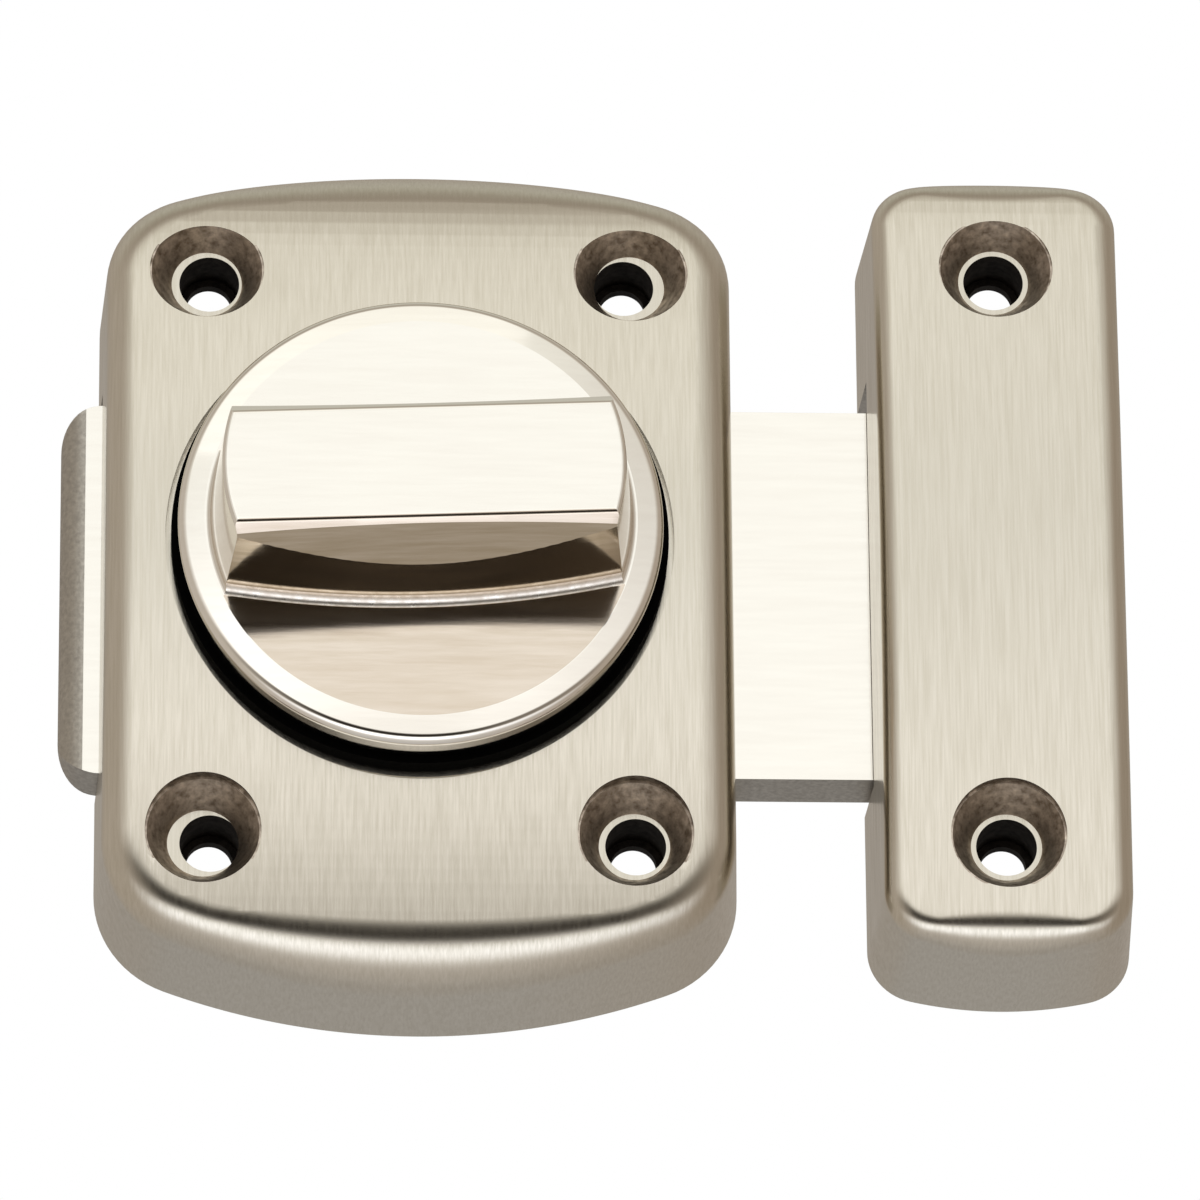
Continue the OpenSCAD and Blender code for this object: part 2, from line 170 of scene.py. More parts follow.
# Degrees above the level line as seen from the front of the latch: 90 is straight up, 180 is behind it.
# A colour above 1 is brighter than white paper
TENT = [
    (-180, (0.40, 0.39, 0.38)), (-150, (0.48, 0.47, 0.46)), (-120, (0.48, 0.46, 0.44)),
    (-108, (0.54, 0.52, 0.50)), (-92, (0.60, 0.57, 0.54)), (-78, (0.68, 0.65, 0.62)),
    (-70, (0.95, 0.93, 0.92)), (-62, (1.50, 1.53, 1.60)), (-53, (1.74, 1.80, 1.92)),
    (-46, (1.55, 1.58, 1.62)), (-40, (0.95, 0.94, 0.91)), (-37, (0.35, 0.33, 0.31)),
    (-33, (0.035, 0.03, 0.025)), (-28, (0.03, 0.026, 0.022)), (-14, (0.03, 0.026, 0.022)),
    (-9, (0.20, 0.19, 0.17)), (-5, (0.60, 0.58, 0.54)), (-1, (0.95, 0.93, 0.89)),
    (4, (1.26, 1.25, 1.22)), (12, (1.32, 1.32, 1.30)), (24, (1.11, 1.12, 1.09)),
    (36, (1.00, 1.00, 0.95)), (44, (1.00, 1.00, 0.94)), (50, (0.86, 0.85, 0.78)),
    (60, (0.58, 0.54, 0.47)), (72, (0.38, 0.33, 0.28)), (92, (0.52, 0.50, 0.43)),
    (104, (0.60, 0.59, 0.52)), (118, (0.56, 0.54, 0.48)), (140, (0.43, 0.38, 0.32)),
    (180, (0.40, 0.39, 0.38)),
]
LEFT_OF_TENT = (0.54, 0.49, 0.43)
RIGHT_OF_TENT = (0.42, 0.36, 0.30)

# How much of the side tone a ray takes, from the far left (0) over the middle (0.5) to the far right (1)
SIDE_SHARE = [
    (0.07, 1.0), (0.22, 0.5), (0.35, 0.0), (0.57, 0.0), (0.67, 0.40), (0.78, 0.55), (0.93, 1.0),
]

# A colour ramp holds no colour above 1, so the ramps are divided by this and the light is multiplied by it
BRIGHTEST = 2.0


def tent_light(tree):
    n = Nodes(tree)
    direction = n.add("ShaderNodeTexCoord")
    split = n.add("ShaderNodeSeparateXYZ", {0: direction}).node
    x, y, z = split.outputs
    angle = n.math("ARCTAN2", z, n.math("MULTIPLY", y, -1.0))
    turn = n.math("ADD", n.math("MULTIPLY", angle, 1 / (2 * math.pi)), 0.5)
    bands = [(degrees / 360 + 0.5, [c / BRIGHTEST for c in colour]) for degrees, colour in TENT]
    across = n.math("ADD", n.math("MULTIPLY", x, 0.5), 0.5)
    side = n.ramp(across, [
        (0.0, [c / BRIGHTEST for c in LEFT_OF_TENT]), (1.0, [c / BRIGHTEST for c in RIGHT_OF_TENT]),
    ])
    tone = n.mix(n.ramp(across, SIDE_SHARE), n.ramp(turn, bands), side)
    seen = n.add("ShaderNodeLightPath", out="Is Camera Ray")
    white = (1 / BRIGHTEST,) * 3 + (1,)
    background = n.add("ShaderNodeBackground", {0: n.mix(seen, tone, white), 1: BRIGHTEST})
    output = tree.nodes.new("ShaderNodeOutputWorld")
    tree.links.new(background, output.inputs[0])
    print("tent:", len(TENT), "bands of light")


tent_light(world.node_tree)

# %% [markdown]
# One weak soft box over the latch adds a direction, so that rims and holes cast a faint shade.

# %% Soft box
softbox_place = Vector((-0.2, -0.9, 0.9))
softbox_data = bpy.data.lights.new("softbox", "AREA")
softbox_data.shape = "RECTANGLE"
softbox_data.size = 0.9
softbox_data.size_y = 0.6
softbox_data.energy = 0.3
softbox = bpy.data.objects.new("softbox", softbox_data)
softbox.location = softbox_place
softbox.rotation_euler = softbox_place.to_track_quat("Z", "Y").to_euler()
bpy.context.scene.collection.objects.link(softbox)
print("soft box", softbox_data.energy, "W")

# %% [markdown]
# The latch hangs on a door, so the floor is far below it, out of the picture.

# %% Floor
floor_mesh = bpy.data.meshes.new("floor")
floor_bm = bmesh.new()
bmesh.ops.create_grid(floor_bm, x_segments=1, y_segments=1, size=20)
floor_bm.to_mesh(floor_mesh)
floor_bm.free()
floor = bpy.data.objects.new("floor", floor_mesh)
floor.location.z = -1.3
floor.visible_glossy = False
bpy.context.scene.collection.objects.link(floor)
pale = bpy.data.materials.new("pale_floor")
pale.use_nodes = True
pale.node_tree.nodes["Principled BSDF"].inputs["Base Color"].default_value = (0.95, 0.94, 0.93, 1)
floor_mesh.materials.append(pale)
print("floor", floor.location.z, "m")

# %% [markdown]
# Every finish starts the same way. A noise in the object's own coordinates stands for the marks of the
# tool or the sand, and it drives a little of the colour, the roughness and the bump. Drawn out along one
# axis the noise becomes brush lines. Only how dark, how rough and how deep differs, so one function makes
# them all. A noise seldom leaves the range between the two values named here, so the ramps run over it.

# %% One way to make a metal
NOISE_LOW = 0.32
NOISE_HIGH = 0.68


def finish(name, grain, tones, roughness, bump, metallic=1.0, specular=0.5, detail=3):
    """grain: (scale, stretch) of the marks; tones: dark and light; bump: (strength, depth in mm)"""
    material = bpy.data.materials.new(name)
    material.use_nodes = True
    n = Nodes(material.node_tree)
    scale, stretch = grain
    where = n.add("ShaderNodeMapping", {
        "Vector": n.add("ShaderNodeTexCoord", out="Object"), "Scale": stretch,
    })
    marks = n.add("ShaderNodeTexNoise", {
        "Vector": where, "Scale": scale, "Detail": detail, "Roughness": 0.6,
    })
    strength, depth = bump
    relief = n.add("ShaderNodeBump", {"Strength": strength, "Distance": depth * MM, "Height": marks})
    shader = n.add("ShaderNodeBsdfPrincipled", {
        "Base Color": n.ramp(marks, [(NOISE_LOW, tones[0]), (NOISE_HIGH, tones[1])]),
        "Roughness": n.ramp(marks, [(NOISE_LOW, roughness[0]), (NOISE_HIGH, roughness[1])]),
        "Metallic": metallic,
        "Specular IOR Level": specular,
        "Normal": relief,
    })
    output = material.node_tree.nodes.new("ShaderNodeOutputMaterial")
    material.node_tree.links.new(shader, output.inputs[0])
    print("finish", name)
    return material


# %% [markdown]
# Satin nickel on the case and keeper is brushed up and down the door, so its marks are long along z.
# The knob and the face of the bolt are wheel-polished, with hardly a mark. The lower scoop of the knob
# gets warmer, duller copies of the polish, which paint its reflection of the dark brown surroundings below
# the latch. A wheel does not reach into the fillets at all.

# %% Nickel finishes
BRUSHED_UP = (1, 0.25, 0.03)
ACROSS = (0.08, 1, 1)
EVEN = (1, 1, 1)
satin = finish(
    "satin_nickel", (5200, BRUSHED_UP), ((0.605, 0.56, 0.475), (0.665, 0.62, 0.54)),
    roughness=(0.26, 0.20), bump=(0.22, 0.02),
)
polished = finish(
    "polished_nickel", (1500, ACROSS), ((0.87, 0.83, 0.77), (0.90, 0.865, 0.805)),
    roughness=(0.10, 0.06), bump=(0.08, 0.02),
)
# Browner copy of the polish for the walls of the lower scoop: painted reflection of the dark room below
wall_reflection = finish(
    "wall_nickel_painted_reflection", (1500, ACROSS), ((0.54, 0.44, 0.31), (0.66, 0.56, 0.43)),
    roughness=(0.13, 0.08), bump=(0.10, 0.02),
)
grainy = finish(
    "fillet_nickel", (1800, EVEN), ((0.80, 0.73, 0.65), (0.97, 0.92, 0.86)),
    roughness=(0.36, 0.26), bump=(0.4, 0.04), detail=4,
)
# Warmer copy of the polish for the floor and chamfer of the lower scoop: painted reflection of the dark room
# below
scoop_reflection = finish(
    "scoop_nickel_painted_reflection", (1500, ACROSS), ((0.66, 0.565, 0.465), (0.74, 0.65, 0.56)),
    roughness=(0.15, 0.10), bump=(0.10, 0.02),
)

# %% [markdown]
# Countersinks are plated over the marks of the drill and come out brown and rough. The bores under them
# are coloured near black. The tail of the bolt keeps the sandy skin of the casting.

# %% Rough finishes
sunk = finish(
    "sunk_nickel", (1500, EVEN), ((0.24, 0.19, 0.145), (0.72, 0.635, 0.545)),
    roughness=(0.46, 0.32), bump=(0.5, 0.05), detail=6,
)
bore_dark = finish(
    "near_black_bore", (1500, EVEN), ((0.012, 0.009, 0.008), (0.03, 0.024, 0.02)),
    roughness=(0.7, 0.6), bump=(0.3, 0.04), metallic=0.0, specular=0.1,
)
sandy = finish(
    "cast_skin", (2600, EVEN), ((0.38, 0.355, 0.32), (0.50, 0.47, 0.42)),
    roughness=(0.46, 0.36), bump=(0.5, 0.05), detail=5,
)

# %% [markdown]
# The works behind the case are zinc-plated steel, and the ring under the knob is coloured near black.

# %% Works and ring finishes
zinc = finish(
    "zinc_plate", (700, EVEN), ((0.50, 0.51, 0.53), (0.62, 0.63, 0.66)),
    roughness=(0.34, 0.24), bump=(0.1, 0.01),
)
ring_black = finish(
    "black_nylon", (3000, EVEN), ((0.0004, 0.0004, 0.0004), (0.001, 0.001, 0.001)),
    roughness=(0.7, 0.6), bump=(0.3, 0.02), metallic=0.0, specular=0.02,
)

# %% [markdown]
# A drawing becomes a piece in one step. It stands up, gets its materials and smooth shading with crisp
# edges, and rides on its body.

# %% From drawing to piece


def shown(bm, name, body, materials, node, sharp=35):
    """Stands a lying bmesh up, gives it its materials and lets it ride on a body"""
    bmesh.ops.remove_doubles(bm, verts=bm.verts[:], dist=0.0005)
    bm.transform(STAND)
    mesh = bpy.data.meshes.new(name)
    bm.to_mesh(mesh)
    bm.free()
    for material in materials:
        mesh.materials.append(material)
    mesh.shade_smooth()
    mesh.set_sharp_from_angle(angle=math.radians(sharp))
    piece = bpy.data.objects.new(name, mesh)
    bpy.context.scene.collection.objects.link(piece)
    weigh = piece.modifiers.new("even_shading", "WEIGHTED_NORMAL")
    weigh.keep_sharp = True
    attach(piece, body)
    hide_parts(node)
    print(name, len(mesh.polygons), "faces")


# %% [markdown]
# Drilling and coring are boolean cuts. The bmesh goes into a passing object, the modifiers do their work,
# and the result comes back as a bmesh. The material number of a tool stays on the wall that the tool leaves.
# On a casting the numbers stand for the satin front, the sinks, the bores and the raw inside.

# %% Cutting tools
FRONT, SINK, BORE, INSIDE = range(4)


def work_object(bm, name="work"):
    """A passing object with a few empty material slots"""
    mesh = bpy.data.meshes.new(name)
    bm.to_mesh(mesh)
    bm.free()
    for _ in range(3):
        mesh.materials.append(None)
    obj = bpy.data.objects.new(name, mesh)
    bpy.context.scene.collection.objects.link(obj)
    return obj


def modified(bm, *stack):
    """Runs a bmesh through modifiers, each a kind and its settings, and gives back the result"""
    obj = work_object(bm)
    for kind, settings in stack:
        modifier = obj.modifiers.new(kind, kind)
        for key, value in settings.items():
            setattr(modifier, key, value)
    ready = obj.evaluated_get(bpy.context.evaluated_depsgraph_get())
    result = bmesh.new()
    result.from_mesh(ready.to_mesh())
    ready.to_mesh_clear()
    bpy.data.objects.remove(obj)
    return result


def cut(bm, *tools, operation="DIFFERENCE"):
    """Takes tools out of a solid, as a drill or a core does"""
    cutters = [work_object(tool, "tool") for tool in tools]
    settings = {"operation": operation, "solver": "MANIFOLD", "material_mode": "INDEX"}
    result = modified(bm, *[("BOOLEAN", {**settings, "object": cutter}) for cutter in cutters])
    for cutter in cutters:
        bpy.data.objects.remove(cutter)
    return result


def painted(bm, index):
    """Gives every face of a tool one material number"""
    for face in bm.faces:
        face.material_index = index
    return bm


# %% [markdown]
# Three simple shapes serve as tools: a bar, a block, and anything that a lathe turns from a flat profile.
# In a profile a corner is rounded before the turning, as a designer puts a radius on a drawing.

# %% Bars, blocks and turned shapes


def bar(radius, z0, z1, at=(0, 0), steps=96):
    bm = bmesh.new()
    bmesh.ops.create_cone(
        bm, cap_ends=True, segments=steps, radius1=radius, radius2=radius, depth=z1 - z0,
    )
    bmesh.ops.translate(bm, verts=bm.verts, vec=(at[0], at[1], (z0 + z1) / 2))
    return bm


def block(x0, x1, y0, y1, z0, z1):
    bm = bmesh.new()
    bmesh.ops.create_cube(bm, size=1)
    bmesh.ops.scale(bm, verts=bm.verts, vec=(x1 - x0, y1 - y0, z1 - z0))
    bmesh.ops.translate(bm, verts=bm.verts, vec=((x0 + x1) / 2, (y0 + y1) / 2, (z0 + z1) / 2))
    return bm


def rounded(bm, corners, radius, segments):
    """Rounds corners of a flat face"""
    bmesh.ops.bevel(
        bm, geom=corners, offset=radius, segments=segments, profile=0.5, affect="VERTICES", material=-1,
    )


def turned(points, steps=128, rounds=None):
    """Turns a flat profile of (radius, height) round the z axis. rounds: corner number to its radius"""
    bm = bmesh.new()
    corners = [bm.verts.new((r, 0, z)) for r, z in points]
    bm.faces.new(corners)
    for number, (radius, segments) in (rounds or {}).items():
        rounded(bm, [corners[number]], radius, segments)
    bmesh.ops.delete(bm, geom=bm.faces[:], context="FACES_ONLY")
    on_axis = [e for e in bm.edges if all(v.co.x < 1e-6 for v in e.verts)]
    bmesh.ops.delete(bm, geom=on_axis, context="EDGES")
    bmesh.ops.spin(
        bm, geom=bm.verts[:] + bm.edges[:], cent=(0, 0, 0), axis=(0, 0, 1),
        angle=2 * math.pi, steps=steps, use_merge=True,
    )
    bmesh.ops.remove_doubles(bm, verts=bm.verts[:], dist=0.0001)
    bmesh.ops.recalc_face_normals(bm, faces=bm.faces[:])
    return bm


# %% [markdown]
# Case and keeper are the same kind of casting: a plan with arched ends, walls with a little draft so that
# the casting leaves its die, a front that is crowned up and down, and a rounded front edge.
# The plan starts from one point at the top. Spins draw the arch and the corner, then the side goes down to
# the middle in equal parts, and mirrors finish the outline.

# %% Plan with arched ends
ARCH_STEPS = 24
CORNER_STEPS = 14
SIDE_PARTS = 8


def arched_plan(w, h, arch_r, corner_r):
    """Flat face with arched ends, round corners and straight sides"""
    bm = bmesh.new()
    arch_y = h / 2 - arch_r
    corner_x = w / 2 - corner_r
    corner_y = arch_y + math.sqrt((arch_r - corner_r) ** 2 - corner_x ** 2)
    meet = math.atan2(corner_y - arch_y, corner_x)
    tip = bm.verts.new((0, h / 2, 0))
    turn = {"axis": (0, 0, 1), "use_merge": False}
    arch_angle = meet - math.pi / 2
    arch = bmesh.ops.spin(
        bm, geom=[tip], cent=(0, arch_y, 0), angle=arch_angle, steps=ARCH_STEPS, **turn)
    end = [g for g in arch["geom_last"] if isinstance(g, bmesh.types.BMVert)]
    bend = bmesh.ops.spin(
        bm, geom=end, cent=(corner_x, corner_y, 0), angle=-meet, steps=CORNER_STEPS, **turn)
    end = [g for g in bend["geom_last"] if isinstance(g, bmesh.types.BMVert)]
    for part in range(SIDE_PARTS, 0, -1):
        end = bmesh.ops.extrude_vert_indiv(bm, verts=end)["verts"]
        end[0].co.y = corner_y * (part - 1) / SIDE_PARTS
    for axis in "YX":
        bmesh.ops.mirror(bm, geom=bm.verts[:] + bm.edges[:], axis=axis, merge_dist=0.0001)
    bmesh.ops.remove_doubles(bm, verts=bm.verts[:], dist=0.001)
    bmesh.ops.contextual_create(bm, geom=bm.edges[:])
    bmesh.ops.recalc_face_normals(bm, faces=bm.faces[:])
    if bm.faces[0].normal.z < 0:
        bmesh.ops.reverse_faces(bm, faces=bm.faces[:])
    return bm


def raised(bm, height, foot=0.0):
    """Pulls a flat plan out of the door as a solid block"""
    bmesh.ops.translate(bm, verts=bm.verts, vec=(0, 0, foot))
    grown = bmesh.ops.extrude_face_region(bm, geom=bm.faces[:])
    top = [g for g in grown["geom"] if isinstance(g, bmesh.types.BMVert)]
    bmesh.ops.translate(bm, verts=top, vec=(0, 0, height))
    bmesh.ops.recalc_face_normals(bm, faces=bm.faces[:])
    return bm


# %% [markdown]
# The front edge is rounded while the front is still flat, because a bevel is even there. Then the front is
# cut into strips and bent: it falls away up and down as a large cylinder does, it rolls off a little more
# near the top edge, where the photo shows a soft shade, and the walls lean in with height.

# %% Rounded edge, crown and draft
strip_w = 1.1
front_rim = 0.35
wall_draft = math.radians(3)
top_roll = 0.0016
roll_length = 4.5
ceiling_t = 3.2
past_door = 1


def top_face(bm):
    return max(bm.faces, key=lambda f: (round(f.calc_center_median().z, 3), f.calc_area()))


def crown_drop(y, radius):
    return math.sqrt(radius ** 2 - y ** 2) - radius


def crowned(bm, radius, above, w=1.0, h=1.0, draft=0.0, soft_from=100.0):
    """Bends everything above a height. The draft draws in the walls of a plan that is w by h, and beyond
    soft_from the front rolls off"""
    bmesh.ops.inset_region(bm, faces=[top_face(bm)], thickness=front_rim, use_even_offset=True)
    reach = max(v.co.y for v in bm.verts)
    y = -reach + strip_w / 2
    while y < reach:
        high = [f for f in bm.faces if f.normal.z > 0.999 and f.calc_center_median().z > above]
        geom = {g for f in high for g in (*f.verts, *f.edges, f)}
        bmesh.ops.bisect_plane(bm, geom=list(geom), plane_co=(0, y, 0), plane_no=(0, 1, 0), dist=0.00001)
        y += strip_w
    for v in bm.verts:
        if v.co.z > above:
            lean = math.tan(draft) * (v.co.z + crown_drop(v.co.y, radius))
            v.co.x *= 1 - 2 * lean / w
            v.co.y *= 1 - 2 * lean / h
            v.co.z += crown_drop(v.co.y, radius) - top_roll * max(0, v.co.y - soft_from) ** 3
    return bm


def cast_body(w, h, depth, arch_r, corner_r, crown_r, edge_end, edge_side):
    """A casting whose front edge is rounded most in the middle of each end"""
    bm = raised(arched_plan(w, h, arch_r, corner_r), depth)
    weight = bm.edges.layers.float.new("bevel_weight_edge")
    for edge in top_face(bm).edges:
        x = sum(v.co.x for v in edge.verts) / 2
        straight = abs(edge.verts[0].co.x - edge.verts[1].co.x) < 0.01
        swell = 0 if straight else max(0, 1 - (x / (w / 2 - corner_r)) ** 2)
        edge[weight] = (edge_side + (edge_end - edge_side) * swell) / edge_end
    bm = modified(bm, ("BEVEL", {
        "width": edge_end, "segments": 10, "limit_method": "WEIGHT", "offset_type": "OFFSET",
        "use_clamp_overlap": False, "profile": 0.5,
    }))
    bmesh.ops.recalc_face_normals(bm, faces=bm.faces[:])
    below_edge = depth - edge_end - 0.5
    soft_from = h / 2 - 1.5 * edge_end - roll_length
    return crowned(bm, crown_r, below_edge, w, h, wall_draft, soft_from)


def core(w, h, depth, wall, arch_r, corner_r, crown_r):
    """The hollow behind the front, which follows the crown at an even thickness"""
    roof = depth - ceiling_t
    plan = arched_plan(w - 2 * wall, h - 2 * wall, arch_r - wall, corner_r - wall)
    bm = raised(plan, roof + past_door, foot=-past_door)
    return crowned(bm, crown_r, above=roof - 1)


print("front strips", strip_w, "mm, ceiling", ceiling_t, "mm")

# %% [markdown]
# A countersunk hole is one turned tool: a short lip, a steep sink, a flat land and the bore, then the screw
# hole in the foot. On the real casting some bores were drilled a little off the sinks, so the bore of a
# tool can be shifted, which leaves the bright land as a crescent.

# %% Screw holes
sink_r = 4.475
sink_lip = 0.4
lip_step = 0.15
land_r = 2.75
land_depth = 2.9
bore_r = 2.35
screw_r = 1.8
boss_r = 4.9
boss_foot = 5.3
foot_t = 0.9
over_face = 3


def screw_hole(face_z, at, bore_shift=(0, 0)):
    foot_z = boss_foot + foot_t
    land_z = face_z - land_depth
    bm = turned([
        (0, face_z + over_face), (sink_r, face_z + over_face), (sink_r, face_z - sink_lip),
        (sink_r - lip_step, face_z - sink_lip), (land_r, land_z), (bore_r, land_z), (bore_r, foot_z),
        (screw_r, foot_z), (screw_r, -past_door), (0, -past_door),
    ], steps=96)
    for face in bm.faces:
        height = face.calc_center_median().z
        if abs(height - land_z) < 0.01:
            face.material_index = FRONT
        elif height < land_z:
            face.material_index = BORE
        else:
            face.material_index = SINK
    shift = Vector((*bore_shift, 0))
    for v in bm.verts:
        in_bore = v.co.xy.length < bore_r + 0.05 and foot_z - 0.5 < v.co.z < face_z
        if in_bore:
            v.co += shift
    bmesh.ops.translate(bm, verts=bm.verts, vec=(*at, 0))
    return bm


print("sinks", 2 * sink_r, "mm, screw holes", 2 * screw_r, "mm")

# %% [markdown]
# The case: the cast body and the round seat of the knob, less its hollow, the window for the bolt, the
# seat's flat, the bearing of the knob and the four screw holes. Bosses, posts and the hub of the knob are
# left standing in the hollow.

# %% Case
crown_r = 145
arch_r = 55
corner_r = 8.5
case_wall = 2.8
case_edge_end = 4.0
case_edge_side = 2.6
seat_r = 19.7
seat_z = 14.1
seat_depth = 4
seat_steps = 160
hub_foot = 9.35
hub_r = 8
post_r = 3.2
post_foot = 1.2
post_y = 19.6
bearing_r = 4.55
bearing_foot = 1
window_gap = 0.5
window_over = 0.25
window_reach = 60
well_over = 20
CASTING = [satin, sunk, bore_dark, sandy]
hole_x = frame["record"]["mounts"][0]["dims"]["spacing_x_mm"] / 2
hole_y = frame["record"]["mounts"][0]["dims"]["spacing_y_mm"] / 2
corners = [(sx, sy) for sx in (-1, 1) for sy in (-1, 1)]
bolt_low, bolt_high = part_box("bolt")
bolt_h = (bolt_high.z - bolt_low.z) / MM
bolt_back = -bolt_high.y / MM
bolt_front = -bolt_low.y / MM

case_bm = cast_body(
    case_w, case_h, case_depth, arch_r, corner_r, crown_r, case_edge_end, case_edge_side)
case_bm = cut(case_bm, bar(seat_r, seat_z - seat_depth, seat_z, steps=seat_steps), operation="UNION")
standing = [bar(boss_r, boss_foot, well_over, (sx * hole_x, sy * hole_y)) for sx, sy in corners]
standing += [bar(post_r, post_foot, well_over, (0, sy * post_y)) for sy in (-1, 1)]
standing += [bar(hub_r, hub_foot, well_over)]
hollow = core(case_w, case_h, case_depth, case_wall, arch_r, corner_r, crown_r)
hollow = painted(cut(hollow, *standing), INSIDE)
window_half = bolt_h / 2 + window_gap
window = painted(block(
    -window_reach, window_reach, -window_half, window_half, -past_door, bolt_front + window_over,
), INSIDE)

# How far each bore sits off its sink, by the corner that it is in
bore_shifts = {(-1, 1): (0.2, 0), (1, 1): (-0.45, 0), (-1, -1): (0.55, 0), (1, -1): (0.1, 0)}
sink_z = case_depth + crown_drop(hole_y, crown_r)
drills = [screw_hole(sink_z, (sx * hole_x, sy * hole_y), bore_shifts[sx, sy]) for sx, sy in corners]
case_bm = cut(case_bm, hollow, window, bar(seat_r, seat_z, well_over, steps=seat_steps))
case_bm = cut(case_bm, painted(bar(bearing_r, bearing_foot, well_over), INSIDE), *drills)
shown(case_bm, "case_shell", "housing", CASTING, "case")

# %% [markdown]
# The keeper is a narrow sister of the case. The bolt goes in through a mouth in its left side, which runs
# from the door to just over the bolt.

# %% Keeper
keeper_crown_r = 265
keeper_arch_r = 31
keeper_corner_r = 4.2
keeper_wall = 2.4
keeper_edge_end = 2.6
keeper_edge_side = 1.6
mouth_gap = 1.6
mouth_over = 0.5
mouth_left = -20
mouth_right = -0.05
keeper_hole_y = frame["record"]["mounts"][1]["dims"]["spacing_y_mm"] / 2
keeper_holes = [(0, sy * keeper_hole_y) for sy in (-1, 1)]

keeper_bm = cast_body(
    keeper_w, keeper_h, keeper_depth, keeper_arch_r, keeper_corner_r, keeper_crown_r,
    keeper_edge_end, keeper_edge_side,
)
hollow = core(
    keeper_w, keeper_h, keeper_depth, keeper_wall, keeper_arch_r, keeper_corner_r, keeper_crown_r)
standing = [bar(boss_r, boss_foot, well_over, at) for at in keeper_holes]
hollow = painted(cut(hollow, *standing), INSIDE)
mouth_half = bolt_h / 2 + mouth_gap
mouth = painted(block(
    mouth_left, mouth_right, -mouth_half, mouth_half, -past_door, bolt_front + mouth_over,
), INSIDE)
sink_z = keeper_depth + crown_drop(keeper_hole_y, keeper_crown_r)
drills = [screw_hole(sink_z, at) for at in keeper_holes]
keeper_bm = cut(keeper_bm, hollow, mouth, *drills)
bmesh.ops.translate(keeper_bm, verts=keeper_bm.verts, vec=keeper_middle)
shown(keeper_bm, "keeper_shell", "housing", CASTING, "keeper")

# %% [markdown]
# The bolt is a flat bar. Seen from the front its corners are round, and seen from above its tail is a full
# round, so the bar is what two rounded outlines have in common. Only its front face was polished.

# %% Bolt
bolt_left = bolt_low.x / MM
bolt_right = bolt_high.x / MM
bolt_y = (bolt_low.z + bolt_high.z) / 2 / MM
bolt_t = bolt_front - bolt_back
tail_corner = 3.3
nose_corner = 0.8
tail_round = bolt_t / 2 - 0.01
bolt_edge = 0.25
through = 40


def outline(x0, x1, y0, y1, left_round, right_round):
    """Flat rectangle with rounded corners"""
    bm = bmesh.new()
    bmesh.ops.create_grid(bm, x_segments=1, y_segments=1, size=0.5)
    bmesh.ops.scale(bm, verts=bm.verts, vec=(x1 - x0, y1 - y0, 1))
    bmesh.ops.translate(bm, verts=bm.verts, vec=((x0 + x1) / 2, (y0 + y1) / 2, 0))
    left = [v for v in bm.verts if v.co.x < (x0 + x1) / 2]
    right = [v for v in bm.verts if v.co.x > (x0 + x1) / 2]
    rounded(bm, left, left_round, segments=12)
    if right_round:
        rounded(bm, right, right_round, segments=6)
    return bm


front_view = outline(
    bolt_left, bolt_right, bolt_y - bolt_h / 2, bolt_y + bolt_h / 2, tail_corner, nose_corner)
top_view = outline(bolt_left, bolt_right + 1, bolt_back, bolt_front, tail_round, 0)
bolt_bm = raised(front_view, bolt_t, foot=bolt_back)
side = raised(top_view, 2 * through, foot=-through)
upright = Matrix.Rotation(math.radians(90), 3, "X")
bmesh.ops.rotate(side, verts=side.verts, cent=(0, 0, 0), matrix=upright)
bolt_bm = cut(bolt_bm, side, operation="INTERSECT")
bolt_bm = modified(bolt_bm, ("BEVEL", {
    "width": bolt_edge, "segments": 3, "limit_method": "ANGLE", "angle_limit": math.radians(50),
}))
for face in bolt_bm.faces:
    is_front = face.normal.z > 0.99
    face.material_index = 0 if is_front else 1
shown(bolt_bm, "bolt_bar", "bolt", [polished, sandy], "bolt")

# %% [markdown]
# The knob is turned first: a base with a shallow shoulder, and the round of the grip on it. Two finger
# scoops then leave the grip as a bar. Each scoop is two cuts: a slanted one under the chamfer of the face,
# straight along the grip, and a bowed one with a fillet on the floor. Where they meet they leave a
# lens-shaped facet.
# The lower scoop takes the warmer, duller finishes, a painted reflection of the dark surroundings below;
# the upper one stays bright but for its fillet.

# %% Knob
# Knob material numbers; the second and fourth paint the reflection of the dark room on the lower scoop
BRIGHT, SCOOP_REFLECTION, FILLET, WALL_REFLECTION = range(4)
knob_r = 18.75
knob_z = 15.85
shoulder_drop = 0.4
shoulder_r = 16.7
scoop_z = 19
grip_foot_r = 16.24
grip_r = 15.4
grip_z = 29.4
grip_half = 4.6
grip_turn = math.radians(2.3)
chamfer = 0.42
chamfer_growth = 1 / 600
edge_round = 0.22
facet_lean = math.radians(20.5)
facet_foot = 1.5
wall_lean = math.radians(3.5)
wall_foot = 6.95
foot_bow_r = 80
bow_loss = 0.48
fillet = 0.75
knob_edge = 0.18
face_ring = 0.15
sweep_half = 30
tool_reach = 40
near_grip = 20

# Corner of the profile to the radius and steps of its rounding: both rims, foot and top of the grip
knob_rounds = {1: (0.4, 4), 2: (0.7, 10), 4: (0.4, 6), 5: (0.4, 6)}
knob_bm = turned([
    (0, knob_z), (knob_r, knob_z), (knob_r, scoop_z - shoulder_drop), (shoulder_r, scoop_z),
    (grip_foot_r, scoop_z), (grip_r, grip_z), (0, grip_z),
], steps=192, rounds=knob_rounds)


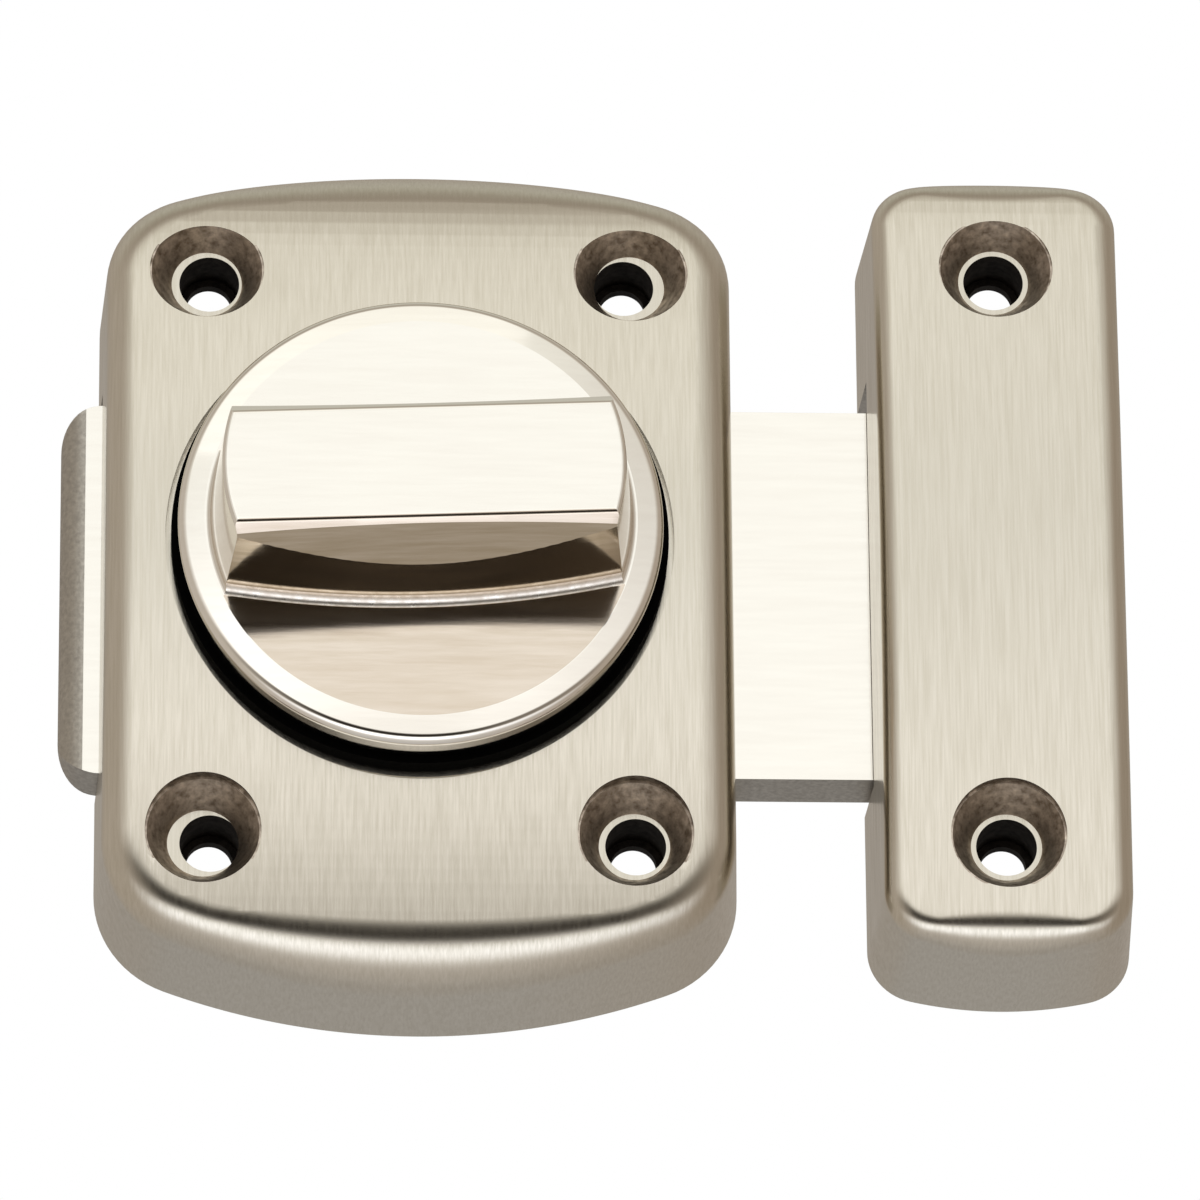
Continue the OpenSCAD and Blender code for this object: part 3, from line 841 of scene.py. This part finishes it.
def swept_along_grip(profile, corner, radius, segments):
    """A flat profile of (y, z) with one rounded corner, drawn out along the grip with an edge at every mm"""
    bm = bmesh.new()
    points = [bm.verts.new((-sweep_half, y, z)) for y, z in profile]
    bm.faces.new(points)
    rounded(bm, [points[corner]], radius, segments)
    grown = bmesh.ops.extrude_face_region(bm, geom=bm.faces[:])
    far_end = [g for g in grown["geom"] if isinstance(g, bmesh.types.BMVert)]
    bmesh.ops.translate(bm, verts=far_end, vec=(2 * sweep_half, 0, 0))
    for x in range(1 - sweep_half, sweep_half):
        geom = bm.verts[:] + bm.edges[:] + bm.faces[:]
        bmesh.ops.bisect_plane(bm, geom=geom, plane_co=(x, 0, 0), plane_no=(1, 0, 0), dist=0.00001)
    return bm


def turned_with_grip(bm, side):
    """Turns a tool with the grip. side: 0 for the upper scoop, pi for the lower one"""
    bmesh.ops.recalc_face_normals(bm, faces=bm.faces[:])
    turn = Matrix.Rotation(side + grip_turn, 3, "Z")
    bmesh.ops.rotate(bm, verts=bm.verts, cent=(0, 0, 0), matrix=turn)
    return bm


def slanted_cut(side):
    """Leaves the chamfer of the face, broader towards its ends, and the facet under it"""
    bottom = scoop_z + facet_foot
    head = grip_z + over_face
    chamfer_y = grip_half + chamfer
    chamfer_z = grip_z - chamfer
    facet_y = chamfer_y + (chamfer_z - bottom) * math.tan(facet_lean)
    inner_y = grip_half - 2 * edge_round
    bm = swept_along_grip([
        (tool_reach, bottom), (facet_y, bottom), (chamfer_y, chamfer_z), (grip_half, grip_z),
        (inner_y, grip_z + 0.01), (inner_y, head), (tool_reach, head),
    ], corner=3, radius=edge_round, segments=6)
    for v in bm.verts:
        growth = chamfer_growth * v.co.x ** 2
        if v.co.y < near_grip and v.co.z < chamfer_z + 0.01:
            v.co.y += growth
            if v.co.z > bottom + 1:
                v.co.z -= growth
    # The lower scoop's chamfer and facet take the browner finishes, painted reflection of the dark room
    # below
    if side:
        for face in bm.faces:
            on_facet = face.calc_center_median().z < grip_z - 1.5 * chamfer
            face.material_index = WALL_REFLECTION if on_facet else SCOOP_REFLECTION
    return turned_with_grip(bm, side)


def bowed_cut(side):
    """Leaves the wall, bowed along the grip and less so higher up, the fillet at its foot and the floor"""
    head = grip_z + over_face
    head_y = wall_foot - (head - scoop_z) * math.tan(wall_lean)
    bm = swept_along_grip([
        (tool_reach, scoop_z), (wall_foot, scoop_z), (head_y, head), (tool_reach, head),
    ], corner=1, radius=fillet, segments=12)
    # The lower scoop's floor and wall take the browner finishes, painted reflection of the dark room below
    painted(bm, SCOOP_REFLECTION if side else BRIGHT)
    for face in bm.faces:
        middle = face.calc_center_median()
        if scoop_z + 0.01 < middle.z < scoop_z + fillet and middle.y < near_grip:
            face.material_index = FILLET
        elif side and middle.z > scoop_z + fillet:
            face.material_index = WALL_REFLECTION
    for v in bm.verts:
        if v.co.y < near_grip:
            bow = 1 - bow_loss * max(0, v.co.z - scoop_z - fillet) / (head - scoop_z - fillet)
            v.co.y -= bow * v.co.x ** 2 / (2 * foot_bow_r)
    return turned_with_grip(bm, side)


cuts = [one_cut(side) for side in (0, math.pi) for one_cut in (slanted_cut, bowed_cut)]
knob_bm = cut(knob_bm, *cuts)
knob_bm = modified(knob_bm, ("BEVEL", {
    "width": knob_edge, "segments": 5, "limit_method": "ANGLE", "angle_limit": math.radians(40),
    "use_clamp_overlap": True,
}))

# A narrow flat ring keeps the shading of the rounded edges out of the face of the grip
grip_face = [f for f in knob_bm.faces if f.calc_center_median().z > grip_z - 0.0001]
bmesh.ops.inset_region(knob_bm, faces=grip_face, thickness=face_ring, use_even_offset=True)
shown(knob_bm, "knob_body", "turn", [polished, scoop_reflection, grainy, wall_reflection], "knob", sharp=9)

# %% [markdown]
# The works and the ring already have their right shape in the frame, so they stay and only get a finish.

# %% Works
WORKS = ["back_plate", "plate_screws", "wave_washer", "crank", "drive_pin", "crank_screw"]
for node in [*WORKS, "knob_washer"]:
    for place in frame["nodes"][node].material_slots:
        place.material = zinc if node in WORKS else ring_black
print("works finished:", len(WORKS) + 1)
